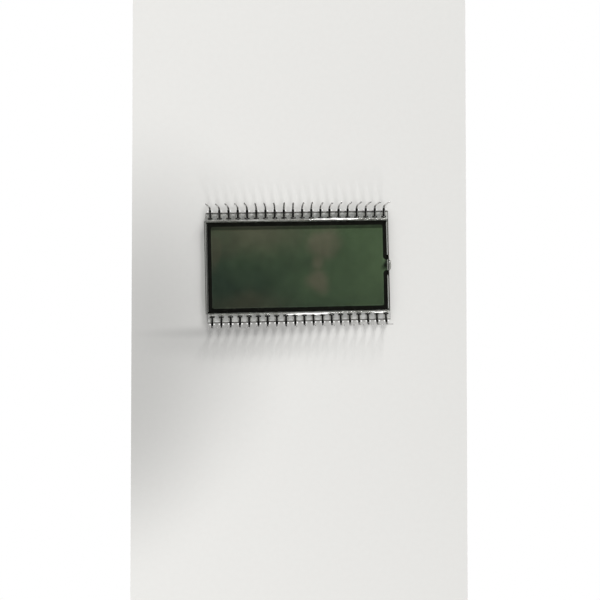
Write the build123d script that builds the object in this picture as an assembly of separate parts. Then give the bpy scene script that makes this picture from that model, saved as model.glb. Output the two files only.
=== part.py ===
"""Through-hole seven-segment liquid crystal display with forty clip-on pins.

Two glass plates hold a thin layer of liquid crystal inside a perimeter seal. The front plate is
wider than the rear one, so a bare ledge runs along each long side. Twenty stamped pins grip each
ledge: a centre finger presses on a contact pad, two outer tines reach round the glass edge, and a
leg stands up for the circuit board. The part lies face down, as it was laid on the table.

Frame: millimetres, +X along the pin rows, +Z from the viewing face towards the pin tips.
The origin is on the resting plane, below the centre of the glass.
"""
from build123d import *
import os
from math import radians, tan

# Glass plates
GLASS_LENGTH = 50.8
REAR_GLASS_WIDTH = 25.4
LEDGE_WIDTH = 2.54
FRONT_GLASS_THICKNESS = 1.1
REAR_GLASS_THICKNESS = 1.1
GLASS_EDGE_CHAMFER = 0.1

# Lay-up offsets from the centre of the front plate, as glued
REAR_GLASS_SHIFT_X = -0.3
CELL_SHIFT_X = -0.16
CELL_SHIFT_Y = 0.03

# Polarising films
POLARIZER_THICKNESS = 0.2
POLARIZER_INSET_X = 0.76
POLARIZER_INSET_Y = 0.35

# The cell between the plates: two electrode films with the liquid crystal between them
ELECTRODE_THICKNESS = 0.02
CRYSTAL_THICKNESS = 0.06
SEAL_END_OVERHANG = 0.28
SEAL_SIDE_OVERHANG = 0.15
SEAL_END_WIDTH = 1.08
SEAL_SIDE_WIDTH = 1.2
SEAL_INNER_RADIUS = 0.5
SEAL_OUTER_RADIUS = 0.3

# Fill port in the middle of the +X side of the seal
PORT_OPENING = 3.0
PORT_FUNNEL = 0.55
PORT_LIP_LENGTH = 1.3
PORT_PILLAR_LENGTH = 0.6
PORT_PILLAR_WIDTH = 0.5
CRYSTAL_SETBACK = 0.25
PLUG_LENGTH = 3.0
PLUG_HEIGHT = 2.0
PLUG_BULGE = 0.47

# Conductive dots that join the two electrode films at the corners
CROSSOVER_SIZE = 0.45
CROSSOVER_EDGE_MARGIN = 0.15

# Pins
PIN_PITCH = 2.54
PIN_END_MARGIN = 1.2
LEG_STANDOFF = 1.27
PIN_METAL_THICKNESS = 0.25
PIN_RISE = 6.2
LEG_WIDTH = 0.45
LEG_BEND_RADIUS = 0.6
LEG_BEND_FLAT_COUNT = 4
LEG_TIP_CHAMFER = 0.12
FINGER_WIDTH = 0.45
FINGER_REACH = 1.92
FINGER_TIP_LENGTH = 0.15
FINGER_TIP_LIFT = 0.1
FINGER_CONTACT_LENGTH = 0.2
FINGER_ARCH = 0.08
TINE_WIDTH = 0.38
TINE_SLIT = 0.12
TINE_REACH = 1.85
TINE_TIP_LENGTH = 0.2
TINE_FLARE_LENGTH = 0.35
TINE_FLARE = 0.12
TINE_BEND_RADIUS = 0.16
TINE_BEND_FLAT_COUNT = 1
SHOULDER_LENGTH = 0.3
SHOULDER_STRAIGHT = 0.08
WAIST_LENGTH = 0.15
WAIST_WIDTH = 0.84
GLASS_EDGE_CLEARANCE = 0.06

# Contact pads, conductive paste and clear resin on the ledges
PAD_WIDTH = 1.5
PAD_EDGE_MARGIN = 0.2
PASTE_THICKNESS = 0.05
PASTE_LENGTH = 0.36
PASTE_WIDTH = 1.4
RESIN_REACH = 0.55
RESIN_HEIGHT = 0.5
RESIN_FULLNESS = 0.62
RESIN_END_MARGIN = 0.35

# Digits, as seen from the viewing side, which faces -Z
PIN_COUNT_PER_DIGIT_SIDE = 4
DIGIT_PITCH = 11.43
DIGIT_HEIGHT = 12.7
DIGIT_WIDTH = 6.9
DIGIT_SLANT_DEG = 8.0
STROKE = 1.5
SEGMENT_GAP = 0.36
POINT_SIZE = 1.5
POINT_OFFSET = 5.35
LEAD_WIDTH = 0.2
FINE_LEAD_WIDTH = 0.08
COMMON_MARGIN = 0.3

# Heights worked out from the stack
FRONT_FACE_Z = PIN_METAL_THICKNESS + TINE_FLARE
LEDGE_Z = FRONT_FACE_Z + FRONT_GLASS_THICKNESS
PAD_TOP_Z = LEDGE_Z + ELECTRODE_THICKNESS
COMMON_Z = PAD_TOP_Z + CRYSTAL_THICKNESS
REAR_GLASS_Z = COMMON_Z + ELECTRODE_THICKNESS
REAR_FACE_Z = REAR_GLASS_Z + REAR_GLASS_THICKNESS
PASTE_TOP_Z = PAD_TOP_Z + PASTE_THICKNESS
PIN_TIP_Z = LEDGE_Z + PIN_RISE

# Outlines worked out from the plates
REAR_EDGE_Y = REAR_GLASS_WIDTH / 2
FRONT_EDGE_Y = REAR_EDGE_Y + LEDGE_WIDTH
END_X = GLASS_LENGTH / 2
PLATE_OVERLAP_X = END_X - abs(REAR_GLASS_SHIFT_X) / 2
PORT_EDGE_X = END_X + min(REAR_GLASS_SHIFT_X, 0) - CELL_SHIFT_X
POLARIZER_LENGTH = GLASS_LENGTH - 2 * POLARIZER_INSET_X
POLARIZER_WIDTH = REAR_GLASS_WIDTH - 2 * POLARIZER_INSET_Y
SEAL_LENGTH = POLARIZER_LENGTH + 2 * SEAL_END_OVERHANG
SEAL_BREADTH = POLARIZER_WIDTH + 2 * SEAL_SIDE_OVERHANG
CRYSTAL_LENGTH = SEAL_LENGTH - 2 * SEAL_END_WIDTH
CRYSTAL_BREADTH = SEAL_BREADTH - 2 * SEAL_SIDE_WIDTH
FINGER_TIP_Y = FRONT_EDGE_Y - FINGER_REACH
FINGER_CONTACT_Y = FINGER_TIP_Y + FINGER_TIP_LENGTH + FINGER_CONTACT_LENGTH / 2
LEG_Y = FRONT_EDGE_Y + LEG_STANDOFF

# As many pins as the glass edge holds, and as many digits as the crystal and the pins serve
PIN_COUNT_PER_ROW = 1 + int((GLASS_LENGTH - 2 * PIN_END_MARGIN) / PIN_PITCH)
DIGIT_COUNT = min(
    int(CRYSTAL_LENGTH / DIGIT_PITCH),
    (PIN_COUNT_PER_ROW - 2) // PIN_COUNT_PER_DIGIT_SIDE,
)


def slab(outline, bottom, thickness):
    """A flat outline on XY made solid, from the height bottom up."""
    return Pos(0, 0, bottom) * extrude(outline, thickness, dir=(0, 0, 1))


def glass_plate(width, bottom, thickness):
    """A rectangular plate with ground edges."""
    plate = Pos(0, 0, bottom + thickness / 2) * Box(GLASS_LENGTH, width, thickness)
    return chamfer(plate.edges(), GLASS_EDGE_CHAMFER)


def as_laid(outline):
    """An outline centred on the cell, moved to where the cell lies on the front plate."""
    return Pos(CELL_SHIFT_X, CELL_SHIFT_Y) * outline


def polarizer(bottom):
    return slab(as_laid(Rectangle(POLARIZER_LENGTH, POLARIZER_WIDTH)), bottom, POLARIZER_THICKNESS)


def port_passage():
    """Plan outline of the fill port: a funnel from the crystal to the nearer glass edge."""
    inner_x = CRYSTAL_LENGTH / 2
    half = PORT_OPENING / 2
    return Polygon(
        (inner_x - PORT_FUNNEL, -half - 2 * PORT_FUNNEL),
        (inner_x + PORT_FUNNEL, -half),
        (PORT_EDGE_X, -half),
        (PORT_EDGE_X, half),
        (inner_x + PORT_FUNNEL, half),
        (inner_x - PORT_FUNNEL, half + 2 * PORT_FUNNEL),
        align=None,
    )


def port_pillar():
    pillar_x = (SEAL_LENGTH + CRYSTAL_LENGTH) / 4
    return Pos(pillar_x, 0) * Rectangle(PORT_PILLAR_WIDTH, PORT_PILLAR_LENGTH)


def seal_outline():
    """The perimeter seal in plan, with two lips and a pillar at the fill port."""
    ring = RectangleRounded(SEAL_LENGTH, SEAL_BREADTH, SEAL_OUTER_RADIUS)
    lip_depth = PORT_EDGE_X - CRYSTAL_LENGTH / 2
    lips = Pos(PORT_EDGE_X - lip_depth / 2, 0) * Rectangle(lip_depth, PORT_OPENING + 2 * PORT_LIP_LENGTH)
    inside = RectangleRounded(CRYSTAL_LENGTH, CRYSTAL_BREADTH, SEAL_INNER_RADIUS)
    return as_laid(ring + lips - inside - port_passage() + port_pillar())


def crystal_outline():
    """The liquid crystal fills the seal and most of the fill port."""
    inside = RectangleRounded(CRYSTAL_LENGTH, CRYSTAL_BREADTH, SEAL_INNER_RADIUS)
    past_meniscus = Pos(PORT_EDGE_X, 0) * Rectangle(2 * CRYSTAL_SETBACK, GLASS_LENGTH)
    return as_laid(inside + port_passage() - port_pillar() - past_meniscus)


def fill_port_plug(plates):
    """A bead of clear resin on the glass edges, domed both ways, that closes the fill port."""
    middle_z = (FRONT_FACE_Z + REAR_FACE_Z) / 2
    foot = abs(REAR_GLASS_SHIFT_X)

    def dome(breadth):
        low = (0, -breadth / 2)
        high = (0, breadth / 2)
        crown = make_face([ThreePointArc(low, (PLUG_BULGE, 0), high), Line(high, low)])
        return crown + Pos(-foot / 2, 0) * Rectangle(foot, breadth)

    along_y = extrude(Plane.XY * dome(PLUG_LENGTH), PLUG_HEIGHT / 2, both=True)
    along_z = extrude(Plane.XZ * dome(PLUG_HEIGHT), PLUG_LENGTH / 2, both=True)
    return Pos(END_X, 0, middle_z) * (along_y & along_z) - plates


def corner_signs():
    return [(x, y) for x in (1, -1) for y in (1, -1)]


def crossover_centre(sign_x, sign_y):
    inset = CROSSOVER_SIZE / 2 + CROSSOVER_EDGE_MARGIN
    x = sign_x * (PLATE_OVERLAP_X - inset) + REAR_GLASS_SHIFT_X / 2
    return x, sign_y * (REAR_EDGE_Y - inset)


def crossover_dot(sign_x, sign_y):
    x, y = crossover_centre(sign_x, sign_y)
    return slab(Pos(x, y) * Rectangle(CROSSOVER_SIZE, CROSSOVER_SIZE), PAD_TOP_Z, CRYSTAL_THICKNESS)


def common_electrode():
    """The back plane on the rear glass, with a track out to each corner dot."""
    plane_length = CRYSTAL_LENGTH - 2 * COMMON_MARGIN
    plane_width = CRYSTAL_BREADTH - 2 * COMMON_MARGIN
    outline = as_laid(RectangleRounded(plane_length, plane_width, SEAL_INNER_RADIUS))
    for sign_x, sign_y in corner_signs():
        inner_x = CELL_SHIFT_X + sign_x * (plane_length / 2 - SEAL_END_WIDTH)
        inner_y = CELL_SHIFT_Y + sign_y * (plane_width / 2 - SEAL_SIDE_WIDTH)
        centre = crossover_centre(sign_x, sign_y)
        outline += trace(Line((inner_x, inner_y), centre), CROSSOVER_SIZE)
        outline += Pos(*centre) * Rectangle(CROSSOVER_SIZE, CROSSOVER_SIZE)
    return slab(outline, COMMON_Z, ELECTRODE_THICKNESS)


def pin_x(index):
    """Place along X of a pin, counted from the -X end."""
    return (index - (PIN_COUNT_PER_ROW - 1) / 2) * PIN_PITCH


def eased(points, radius, flats):
    """The points of a bent line with each inner corner eased to the radius by a few flats."""
    corners = [Vector(*point) for point in points]
    path = [corners[0]]
    for before, corner, after in zip(corners, corners[1:], corners[2:]):
        come = (corner - before).normalized()
        go = (after - corner).normalized()
        reach = radius * tan(radians(come.get_angle(go)) / 2)
        start = corner - come * reach
        end = corner + go * reach
        centre = corner + (go - come).normalized() * (reach**2 + radius**2) ** 0.5
        for step in range(flats + 1):
            chord = start + (end - start) * (step / flats)
            path.append(centre + (chord - centre).normalized() * radius)
    return [(p.X, p.Y) for p in path + [corners[-1]]]


def bent_strip(points, width):
    """Sheet metal that follows a side profile in YZ, centred on X."""
    profile = trace(Polyline(*points), PIN_METAL_THICKNESS)
    return extrude(Plane.YZ * profile, width / 2, both=True)


def pin():
    """One stamped pin on the +Y ledge at X = 0."""
    half_metal = PIN_METAL_THICKNESS / 2
    contact_z = PASTE_TOP_Z + half_metal
    strip_z = contact_z + FINGER_ARCH
    pressed_z = FRONT_FACE_Z - half_metal
    back_y = FRONT_EDGE_Y + GLASS_EDGE_CLEARANCE + half_metal
    shoulder_y = back_y + TINE_BEND_RADIUS
    taper_y = shoulder_y + SHOULDER_STRAIGHT
    tine_tip_y = FRONT_EDGE_Y - TINE_REACH
    flare_y = tine_tip_y + TINE_TIP_LENGTH + TINE_FLARE_LENGTH

    finger_line = [
        (FINGER_TIP_Y, contact_z + FINGER_TIP_LIFT),
        (FINGER_TIP_Y + FINGER_TIP_LENGTH, contact_z),
        (FINGER_CONTACT_Y + FINGER_CONTACT_LENGTH / 2, contact_z),
        (FRONT_EDGE_Y, strip_z),
        (taper_y, strip_z),
    ]
    leg_line = [(shoulder_y, strip_z), (LEG_Y, strip_z), (LEG_Y, PIN_TIP_Z)]
    wrap_line = [(taper_y, strip_z), (back_y, strip_z), (back_y, pressed_z), (flare_y, pressed_z)]
    flare_line = [
        (tine_tip_y + TINE_TIP_LENGTH, pressed_z - TINE_FLARE),
        (tine_tip_y, pressed_z - TINE_FLARE),
    ]
    finger = bent_strip(finger_line, FINGER_WIDTH)
    tine = bent_strip(eased(wrap_line, TINE_BEND_RADIUS, TINE_BEND_FLAT_COUNT) + flare_line, TINE_WIDTH)
    leg = bent_strip(eased(leg_line, LEG_BEND_RADIUS, LEG_BEND_FLAT_COUNT), LEG_WIDTH)
    tip_corners = leg.edges().filter_by(Axis.Y).group_by(Axis.Z)[-1]
    leg = chamfer(tip_corners, LEG_TIP_CHAMFER)
    tine_x = FINGER_WIDTH / 2 + TINE_SLIT + TINE_WIDTH / 2

    half_shoulder = tine_x + TINE_WIDTH / 2
    shoulder = slab(
        Polygon(
            (-half_shoulder, shoulder_y),
            (half_shoulder, shoulder_y),
            (half_shoulder, taper_y),
            (WAIST_WIDTH / 2, shoulder_y + WAIST_LENGTH),
            (LEG_WIDTH / 2, shoulder_y + SHOULDER_LENGTH),
            (-LEG_WIDTH / 2, shoulder_y + SHOULDER_LENGTH),
            (-WAIST_WIDTH / 2, shoulder_y + WAIST_LENGTH),
            (-half_shoulder, taper_y),
            align=None,
        ),
        strip_z - half_metal,
        PIN_METAL_THICKNESS,
    )
    return finger + leg + shoulder + Pos(tine_x, 0, 0) * tine + Pos(-tine_x, 0, 0) * tine


def paste_row():
    """Printed patches of conductive paste under the fingers of the +Y row."""
    patch = slab(Rectangle(PASTE_WIDTH, PASTE_LENGTH), PAD_TOP_Z, PASTE_THICKNESS)
    return Compound([Pos(pin_x(i), FINGER_CONTACT_Y, 0) * patch for i in range(PIN_COUNT_PER_ROW)])


def resin_bead():
    """A bead of clear resin in the corner between the +Y ledge and the rear glass."""
    corner = (REAR_EDGE_Y, LEDGE_Z)
    foot = (REAR_EDGE_Y + RESIN_REACH, LEDGE_Z)
    top = (REAR_EDGE_Y, LEDGE_Z + RESIN_HEIGHT)
    crown = (REAR_EDGE_Y + RESIN_FULLNESS * RESIN_REACH, LEDGE_Z + RESIN_FULLNESS * RESIN_HEIGHT)
    profile = make_face([Line(corner, foot), ThreePointArc(foot, crown, top), Line(top, corner)])
    return extrude(Plane.YZ * profile, END_X - RESIN_END_MARGIN, both=True)


def slanted(point):
    """A point of an upright digit, leaned over as the viewer sees it."""
    x, y = point
    return x - y * tan(radians(DIGIT_SLANT_DEG)), y


def segment_shapes():
    """The outlines of segments a to g of an upright digit centred on the origin."""
    half_w = DIGIT_WIDTH / 2
    half_h = DIGIT_HEIGHT / 2
    gap = SEGMENT_GAP / 2
    inner_w = half_w - STROKE
    top = [
        (half_w - gap, half_h),
        (inner_w - gap, half_h - STROKE),
        (-inner_w + gap, half_h - STROKE),
        (-half_w + gap, half_h),
    ]
    upper_side = [
        (half_w, half_h - gap),
        (half_w, gap),
        (half_w - STROKE / 2, gap),
        (inner_w, STROKE / 2 + gap),
        (inner_w, half_h - STROKE - gap),
    ]
    middle = [
        (half_w - STROKE / 2 - gap, 0),
        (inner_w - gap, STROKE / 2),
        (-inner_w + gap, STROKE / 2),
        (-half_w + STROKE / 2 + gap, 0),
        (-inner_w + gap, -STROKE / 2),
        (inner_w - gap, -STROKE / 2),
    ]

    def flipped(points, sign_x, sign_y):
        return [(sign_x * x, sign_y * y) for x, y in points]

    return {
        "a": top,
        "b": flipped(upper_side, -1, 1),
        "c": flipped(upper_side, -1, -1),
        "d": flipped(top, 1, -1),
        "e": flipped(upper_side, 1, -1),
        "f": upper_side,
        "g": middle,
    }


def contact_pad(index, side):
    """Pad under a pin's finger, and the point where its track starts."""
    length = FRONT_EDGE_Y - REAR_EDGE_Y - RESIN_REACH - PAD_EDGE_MARGIN
    pad_y = FRONT_EDGE_Y - PAD_EDGE_MARGIN - length / 2
    pad = Pos(pin_x(index), side * pad_y) * Rectangle(PAD_WIDTH, length)
    return pad, (pin_x(index), side * pad_y)


def electrode(shapes, points, width=LEAD_WIDTH):
    """One conductor: its display areas, and a lead from the pad through the points given."""
    conductor = slab(trace(Polyline(*points), width), LEDGE_Z, ELECTRODE_THICKNESS)
    for shape in shapes:
        conductor += slab(shape, LEDGE_Z, ELECTRODE_THICKNESS)
    return conductor


def digit_conductors(centre_x, first_pin):
    """The conductors of one digit and its decimal point, each led to a pin of its own."""
    outlines = {
        name: Polygon(*[(centre_x + slanted(p)[0], p[1]) for p in points], align=None)
        for name, points in segment_shapes().items()
    }

    def place(x, y):
        return centre_x + slanted((x, y))[0], y

    half_w = DIGIT_WIDTH / 2
    half_h = DIGIT_HEIGHT / 2
    inner_w = half_w - STROKE
    turn_y = half_h + STROKE
    exits = {
        "f": [place(half_w - LEAD_WIDTH, half_h - STROKE), place(half_w + STROKE / 2, half_h)],
        "g": [
            place(inner_w - SEGMENT_GAP - STROKE / 2, 0),
            place(inner_w - SEGMENT_GAP - STROKE / 2, half_h - 2 * STROKE - SEGMENT_GAP),
            place(inner_w, half_h - STROKE),
            place(half_w, half_h),
            place(half_w, half_h + STROKE / 2),
        ],
        "a": [place(-SEGMENT_GAP, half_h - LEAD_WIDTH)],
        "b": [place(-half_w + LEAD_WIDTH, half_h - STROKE), place(-half_w - STROKE / 2, half_h)],
        "e": [place(half_w - LEAD_WIDTH, STROKE - half_h), place(half_w + STROKE / 2, -half_h)],
        "d": [place(SEGMENT_GAP, LEAD_WIDTH - half_h)],
        "c": [place(-half_w + LEAD_WIDTH, STROKE - half_h), place(-half_w - LEAD_WIDTH, -half_h)],
    }
    conductors = []
    for side, names in ((1, "fgab"), (-1, "edc")):
        for step, name in enumerate(names):
            pad, start = contact_pad(first_pin - step, side)
            points = exits[name] + [(start[0], side * turn_y), start]
            width = FINE_LEAD_WIDTH if name == "g" else LEAD_WIDTH
            conductors.append(electrode([outlines[name], pad], points, width))

    point_centre = place(-POINT_OFFSET, POINT_SIZE / 2 - half_h)
    pad, start = contact_pad(first_pin - len("edc"), -1)
    dot = Pos(*point_centre) * Rectangle(POINT_SIZE, POINT_SIZE)
    conductors.append(electrode([dot, pad], [point_centre, (start[0], -turn_y), start]))
    return conductors


def segment_electrodes():
    """All conductors on the front glass: digits, points, corner dots and spare pads."""
    conductors = []
    spare = set(range(PIN_COUNT_PER_ROW))
    for number in range(DIGIT_COUNT):
        centre_x = ((DIGIT_COUNT - 1) / 2 - number) * DIGIT_PITCH
        first_pin = round(centre_x / PIN_PITCH + (PIN_COUNT_PER_ROW + PIN_COUNT_PER_DIGIT_SIDE) / 2 - 1)
        first_pin = min(first_pin, PIN_COUNT_PER_ROW - 2)
        conductors += digit_conductors(centre_x, first_pin)
        spare -= {first_pin - step for step in range(PIN_COUNT_PER_DIGIT_SIDE)}
    for sign_x, sign_y in corner_signs():
        index = PIN_COUNT_PER_ROW - 1 if sign_x > 0 else 0
        pad, start = contact_pad(index, sign_y)
        centre = crossover_centre(sign_x, sign_y)
        dot = Pos(*centre) * Rectangle(CROSSOVER_SIZE, CROSSOVER_SIZE)
        conductors.append(electrode([dot, pad], [centre, start]))
        spare -= {index}
    for index in sorted(spare):
        for side in (1, -1):
            pad, start = contact_pad(index, side)
            conductors.append(slab(pad, LEDGE_Z, ELECTRODE_THICKNESS))
    return Compound(conductors)


def other_row(shape):
    """The same piece on the -Y side."""
    return Rot(0, 0, 180) * shape


def build_parts():
    segments = segment_electrodes()
    back_plane = common_electrode()
    dots = [crossover_dot(sign_x, sign_y) for sign_x, sign_y in corner_signs()]
    seal = slab(seal_outline(), LEDGE_Z, REAR_GLASS_Z - LEDGE_Z) - segments - back_plane - Compound(dots)
    front_glass = glass_plate(2 * FRONT_EDGE_Y, FRONT_FACE_Z, FRONT_GLASS_THICKNESS)
    rear_glass = Pos(REAR_GLASS_SHIFT_X, 0, 0) * glass_plate(
        REAR_GLASS_WIDTH, REAR_GLASS_Z, REAR_GLASS_THICKNESS
    )
    parts = {
        "front_polarizer": polarizer(FRONT_FACE_Z - POLARIZER_THICKNESS),
        "front_glass": front_glass,
        "segment_electrodes": segments,
        "perimeter_seal": seal,
        "liquid_crystal": slab(crystal_outline(), PAD_TOP_Z, CRYSTAL_THICKNESS),
        "common_electrode": back_plane,
        "rear_glass": rear_glass,
        "rear_polarizer": polarizer(REAR_FACE_Z),
        "fill_port_plug": fill_port_plug(Compound([front_glass, rear_glass])),
        "contact_paste_upper": paste_row(),
        "contact_paste_lower": other_row(paste_row()),
        "ledge_resin_upper": resin_bead() - segments,
        "ledge_resin_lower": other_row(resin_bead()) - segments,
    }
    for number, dot in enumerate(dots, start=1):
        parts[f"crossover_dot_{number}"] = dot
    upper_pin = pin()
    for index in range(PIN_COUNT_PER_ROW):
        x = pin_x(index)
        parts[f"pin_upper_{index + 1:02d}"] = Pos(x, 0, 0) * upper_pin
        parts[f"pin_lower_{index + 1:02d}"] = Pos(x, 0, 0) * other_row(upper_pin)
    return parts


def main():
    os.makedirs("parts", exist_ok=True)
    for name, shape in build_parts().items():
        export_step(shape, f"parts/{name}.step")


if __name__ == "__main__":
    main()
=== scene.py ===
"""Looks of a through-hole segment liquid crystal display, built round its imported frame.

The display lies on its viewing face with the pins standing up. All lengths are in metres.
"""

import math
import random
from types import SimpleNamespace

import bmesh
import bpy
from bpy.props import FloatProperty, FloatVectorProperty, PointerProperty
from mathutils import Matrix, Vector


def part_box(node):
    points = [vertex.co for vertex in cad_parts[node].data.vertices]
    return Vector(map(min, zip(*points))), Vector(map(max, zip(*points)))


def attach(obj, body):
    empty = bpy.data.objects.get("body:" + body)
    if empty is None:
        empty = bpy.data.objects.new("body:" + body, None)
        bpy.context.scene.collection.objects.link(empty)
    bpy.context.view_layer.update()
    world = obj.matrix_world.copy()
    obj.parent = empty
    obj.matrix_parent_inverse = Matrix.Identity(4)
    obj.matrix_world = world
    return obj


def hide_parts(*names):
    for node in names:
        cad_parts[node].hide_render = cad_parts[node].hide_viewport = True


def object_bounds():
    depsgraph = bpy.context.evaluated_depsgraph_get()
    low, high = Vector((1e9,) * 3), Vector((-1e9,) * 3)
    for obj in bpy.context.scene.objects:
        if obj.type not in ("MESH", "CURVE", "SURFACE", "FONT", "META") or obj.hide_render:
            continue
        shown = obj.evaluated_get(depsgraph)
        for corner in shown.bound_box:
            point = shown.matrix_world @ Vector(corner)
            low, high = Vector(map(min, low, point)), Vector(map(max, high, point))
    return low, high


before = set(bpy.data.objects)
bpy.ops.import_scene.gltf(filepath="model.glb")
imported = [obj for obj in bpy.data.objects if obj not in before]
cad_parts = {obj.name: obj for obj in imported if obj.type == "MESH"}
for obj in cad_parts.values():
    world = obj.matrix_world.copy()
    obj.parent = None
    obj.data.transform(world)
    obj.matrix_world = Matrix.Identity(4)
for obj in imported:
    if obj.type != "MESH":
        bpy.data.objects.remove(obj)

bl_info = {
    "name": "Segment display looks",
    "version": (1, 0, 0),
    "blender": (4, 5, 0),
    "location": "3D View > Sidebar > Display",
    "description": "Pins, resin, films and stage of a segment liquid crystal display",
    "category": "Object",
}

MM = 0.001
CAD_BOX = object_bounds()
PIN_NODES = sorted(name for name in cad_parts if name.startswith("pin_"))
PIN_TOP_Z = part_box("pin_upper_01")[1].z
PIN_PITCH = abs(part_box("pin_upper_02")[1].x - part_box("pin_upper_01")[1].x)
FRONT_LOW, FRONT_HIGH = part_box("front_glass")
REAR_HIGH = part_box("rear_glass")[1]
LEDGE_Z = FRONT_HIGH.z
PASTE_TOP_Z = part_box("contact_paste_upper")[1].z
CRYSTAL_EDGE_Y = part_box("liquid_crystal")[1].y

# Gap left between a see-through layer and its neighbours, so that no two faces coincide
FACE_GAP = 0.002 * MM
# Slack for cuts, for points that meet and for points picked by their place
CUT_SLACK = 1e-7
SEAM_SLACK = 1e-6
PLACE_SLACK = 2e-6

# Steps in which the bends, the straight leg, the other curves and the flats of a pin are drawn
LEG_BEND_STEPS = 10
LEG_STEPS = 3
CURVE_STEPS = 5
FLAT_STEPS = 4
# Share of a finger's lift at the middle of its tip
TIP_CURL = 0.35
# Share of a leg's lean across the row, and share of the bend's reach at which it starts
CROSS_LEAN = 0.8
LEAN_START = 0.5
PIN_SEED = 11
SHARP_ANGLE = math.radians(50)
SMOOTH_ANGLE = math.radians(40)

# Waves that make a bead uneven, and how far their sum is drawn out
WAVE_COUNT = 6
WAVE_GAIN = 1.6
# Least and most width and height of a bead's sections, and the size of its ends, as shares
BEAD_WIDTHS = (0.72, 1.16)
BEAD_HEIGHTS = (0.62, 1.1)
BEAD_END = 0.45
# Rounding of a bead as a share of its height, and the fullness of the round
BEAD_ROUND = 0.93
BEAD_FULLNESS = 0.42
BEAD_SEEDS = {"upper": 5, "lower": 8}
# Swells of the beads: middle and half length in millimetres, and size as a share of the width
SWELLS = {"upper": ((10.5, 7.0, 0.3),), "lower": ((-2.5, 7.0, 0.6), (-22.3, 1.8, 0.5))}

# Refractive indices for the gloss of the see-through faces
GLASS_IOR = 1.5
FILM_IOR = 1.42
OXIDE_IOR = 1.08
RESIN_IOR = 1.52

# Every patch, place and shade below starts with its centre and radii in millimetres
# Painted highlights in the beads, laid as whiter milky places, with their strength
MILKY_HIGHLIGHT_SPOTS = {
    "upper": (((10.5, 12.9), (8.2, 6.0), 0.8), ((-12.0, 12.9), (6.0, 6.0), 0.4)),
    "lower": (((2.5, -12.9), (8.2, 6.0), 1.0), ((22.3, -12.9), (2.4, 6.0), 1.0)),
}
# Drift of the crystal's tone: axis, size and the distance from the middle at which it is full
CRYSTAL_DRIFTS = (("X", 0.39, 25 * MM), ("Y", 0.26, 12 * MM))
# Warm patches of the crystal, partly painted reflections of what hangs over the display, with their strength
# and the level at which it is full
WARM_AND_REFLECTED_PATCHES = (
    ((-12.0, 9.0), (26.0, 9.0), 0.85, 1.0),
    ((-15.0, -11.0), (18.0, 7.0), 0.7, 1.0),
    ((7.0, 6.2), (6.5, 6.8), 1.0, 0.75),
    ((5.2, 0.8), (3.4, 6.0), 0.9, 0.75),
    ((6.0, -4.6), (4.8, 4.4), 1.0, 0.75),
    ((-23.5, 6.0), (3.5, 9.0), 0.8, 0.75),
)
# How far the edges of the warm patches stray
PATCH_STRAY = 6 * MM
# Shade of the crystal by the fill port, with the level that is left
PORT_SHADE = ((24.5, 0.5), (1.5, 2.8), 0.15)
# Painted shadow of the seal along the crystal's +Y edge: width, fade and the level that is left
PAINTED_SEAL_SHADOW = (0.85 * MM, 0.2 * MM, 0.42)

# Fall of the sheet's level towards +X and +Y: axis, size and distance from the middle
SHEET_FALLS = (("X", 0.044, 50 * MM), ("Y", 0.02, 80 * MM))
# Soft painted shadows on the sheet: a broad one towards -X and -Y and one below the lower row of pins, with
# their depth
SHEET_PAINTED_SHADOWS = (
    ((-41.9, -15.1), (44.2, 62.9), 0.316),
    ((-57.3, -51.0), (37.5, 39.0), 0.2),
    ((-14.0, -20.5), (37.0, 7.0), 0.15),
    ((-14.0, -17.7), (38.0, 2.5), 0.22),
)
# How far the ground lies below the sheet
GROUND_DROP = 0.2 * MM
LAMP_DISTANCE = 0.55
# Levels of the world by height, as the Z of the direction: a bright ring, and the dark overhead
RING_LEVELS = ((0.0, 0.3), (0.5, 0.35), (0.62, 1.0))
OVERHEAD_LEVELS = ((0.85, 1.0), (0.905, 0.01))
# Light crosses many see-through faces on its way through the cell
SEE_THROUGH_BOUNCES = 48


# Settings


def tone(name, description, default):
    """A colour setting."""
    return FloatVectorProperty(
        name=name, description=description, default=default, subtype="COLOR", size=3, min=0.0, max=1.0
    )


def length(name, description, default):
    """A length setting, given in millimetres and kept in metres."""
    return FloatProperty(name=name, description=description, default=default * MM, unit="LENGTH", precision=5)


def degrees(name, description, default):
    """An angle setting, given in degrees and kept in radians."""
    return FloatProperty(name=name, description=description, default=math.radians(default), unit="ROTATION")


def fraction(name, description, default):
    """A setting from nothing to one."""
    return FloatProperty(name=name, description=description, default=default, min=0.0, max=1.0)


def numbers(name, description, unit, default):
    """A setting of several numbers, in metres or radians."""
    return FloatVectorProperty(
        name=name, description=description, unit=unit, default=default, size=len(default)
    )


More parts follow.
